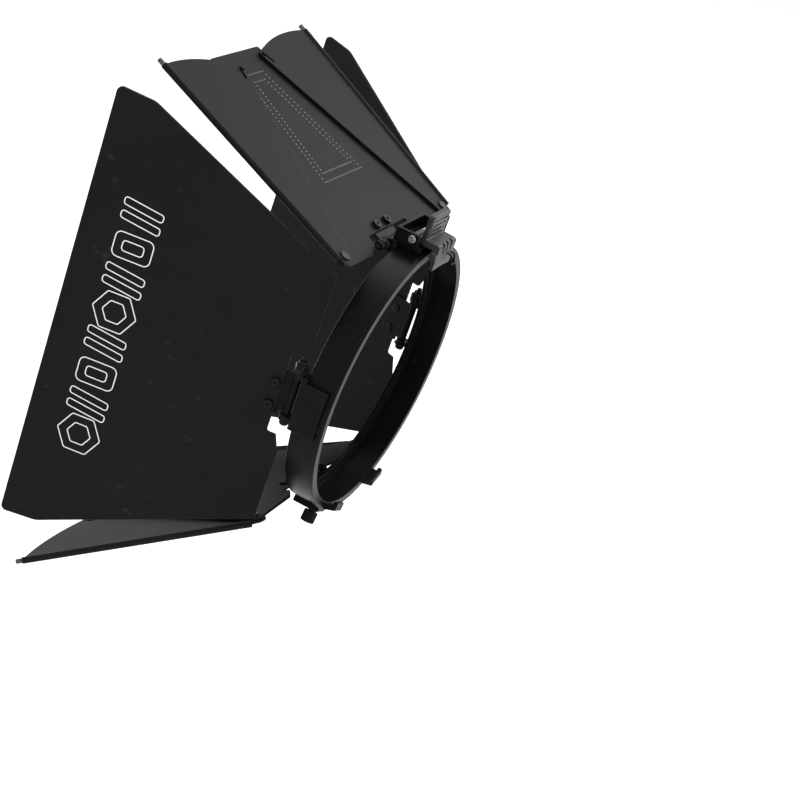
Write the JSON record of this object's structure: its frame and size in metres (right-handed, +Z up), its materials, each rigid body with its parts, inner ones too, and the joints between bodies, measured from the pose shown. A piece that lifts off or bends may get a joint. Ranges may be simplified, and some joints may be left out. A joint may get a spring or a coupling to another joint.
{
  "type": "barn door attachment",
  "caption": "Barn door attachment: hinged black metal leaves with fan-out wings on a ring that latches to the front of a small stage spotlight.",
  "frame": {"origin": "centre of the mounting ring at its rear rim, where it meets the lamp", "axes": "-Y the way the light leaves, +Z up with the latch at the top, +X to the left of a person behind the lamp"},
  "size_m": [0.188, 0.1298, 0.2351],
  "materials": {
    "black_sheet": "fine satin black powder coat",
    "black_ring": "smooth satin black paint",
    "black_hardware": "black oxide screws, nuts and washers",
    "bare_steel": "bright steel rods and pivots",
    "latch_metal": "worn grey-black lever",
    "knob_black": "moulded black, fluted",
    "shoe_rubber": "dense black rubber"
  },
  "bodies": {
    "ring": {"mount_ring": "black_ring", "bracket_screws": "black_hardware", "latch_housing": "black_ring", "latch_pin": "bare_steel", "latch_spring": "bare_steel", "claw_left": "black_ring", "claw_right": "black_ring", "lock_boss": "black_ring", "hinge_bracket_top": "black_ring", "hinge_bolt_top": "black_hardware", "hinge_washers_top": "black_hardware", "hinge_nut_top": "black_hardware", "hinge_bracket_left": "black_ring", "hinge_bolt_left": "black_hardware", "hinge_washers_left": "black_hardware", "hinge_nut_left": "black_hardware", "hinge_bracket_bottom": "black_ring", "hinge_bolt_bottom": "black_hardware", "hinge_washers_bottom": "black_hardware", "hinge_nut_bottom": "black_hardware", "hinge_bracket_right": "black_ring", "hinge_bolt_right": "black_hardware", "hinge_washers_right": "black_hardware", "hinge_nut_right": "black_hardware"},
    "latch": {"latch_lever": "latch_metal", "keeper_wire": "black_ring"},
    "lock_shoe": {"lock_shoe": "shoe_rubber"},
    "lock_screw": {"lock_screw": "knob_black"},
    "top_leaf": {"top_leaf": "black_sheet", "leaf_hinge_top": "black_ring", "leaf_rivets_top": "black_hardware", "pivot_washers_top": "black_hardware", "wing_pivot_top_left": "black_hardware", "wing_pivot_top_right": "black_hardware"},
    "left_leaf": {"left_leaf": "black_sheet", "leaf_hinge_left": "black_ring", "leaf_rivets_left": "black_hardware"},
    "bottom_leaf": {"bottom_leaf": "black_sheet", "leaf_hinge_bottom": "black_ring", "leaf_rivets_bottom": "black_hardware", "pivot_washers_bottom": "black_hardware", "wing_pivot_bottom_left": "black_hardware", "wing_pivot_bottom_right": "black_hardware"},
    "right_leaf": {"right_leaf": "black_sheet", "leaf_hinge_right": "black_ring", "leaf_rivets_right": "black_hardware"},
    "wing_top_left": {"wing_top_left": "black_sheet", "wing_rod_top_left": "bare_steel"},
    "wing_top_right": {"wing_top_right": "black_sheet", "wing_rod_top_right": "bare_steel"},
    "wing_bottom_left": {"wing_bottom_left": "black_sheet", "wing_rod_bottom_left": "bare_steel"},
    "wing_bottom_right": {"wing_bottom_right": "black_sheet", "wing_rod_bottom_right": "bare_steel"}
  },
  "joints": [
    {"name": "top_leaf_hinge", "type": "hinge", "parent": "ring", "child": "top_leaf", "pos_m": [0, -0.0186, 0.062], "axis": [-1, 0, 0], "range_deg": [-84, 71]},
    {"name": "left_leaf_hinge", "type": "hinge", "parent": "ring", "child": "left_leaf", "pos_m": [0.062, -0.0186, 0], "axis": [0, 0, 1], "range_deg": [-8.6, 92.4]},
    {"name": "bottom_leaf_hinge", "type": "hinge", "parent": "ring", "child": "bottom_leaf", "pos_m": [0, -0.0186, -0.062], "axis": [1, 0, 0], "range_deg": [-8.3, 66.7]},
    {"name": "right_leaf_hinge", "type": "hinge", "parent": "ring", "child": "right_leaf", "pos_m": [-0.062, -0.0186, 0], "axis": [0, 0, -1], "range_deg": [-18, 83]},
    {"name": "wing_top_left_swing", "type": "hinge", "parent": "top_leaf", "child": "wing_top_left", "pos_m": [0.0534, -0.0207, 0.06294], "axis": [0, 0.4067, 0.9135], "range_deg": [-0.6, 12.4]},
    {"name": "wing_top_right_swing", "type": "hinge", "parent": "top_leaf", "child": "wing_top_right", "pos_m": [-0.0534, -0.0207, 0.06294], "axis": [0, -0.4067, -0.9135], "range_deg": [-6.3, 7.7]},
    {"name": "wing_bottom_left_swing", "type": "hinge", "parent": "bottom_leaf", "child": "wing_bottom_left", "pos_m": [0.0534, -0.02052, -0.06326], "axis": [0, -0.549, 0.8358], "range_deg": [-13.5, 1]},
    {"name": "wing_bottom_right_swing", "type": "hinge", "parent": "bottom_leaf", "child": "wing_bottom_right", "pos_m": [-0.0534, -0.02052, -0.06326], "axis": [0, 0.549, -0.8358], "range_deg": [-6, 8]},
    {"name": "latch_lever_rock", "type": "hinge", "parent": "ring", "child": "latch", "pos_m": [0, -0.0074, 0.0692], "axis": [1, 0, 0], "range_deg": [0, 32], "stiffness_Nm_per_rad": 0.03, "springref_deg": -28.65},
    {"name": "lock_screw_turn", "type": "hinge", "parent": "lock_shoe", "child": "lock_screw", "pos_m": [0.02326, -0.0059, -0.0639], "axis": [-0.342, 0, 0.9397], "range_deg": [0, 540]},
    {"name": "lock_shoe_slide", "type": "slide", "parent": "ring", "child": "lock_shoe", "axis": [-0.342, 0, 0.9397], "range_m": [0, 0.00075]}
  ],
  "couplings": [
    {"joint": "lock_screw_turn", "follows": "lock_shoe_slide", "rad_per_m": 12566}
  ]
}
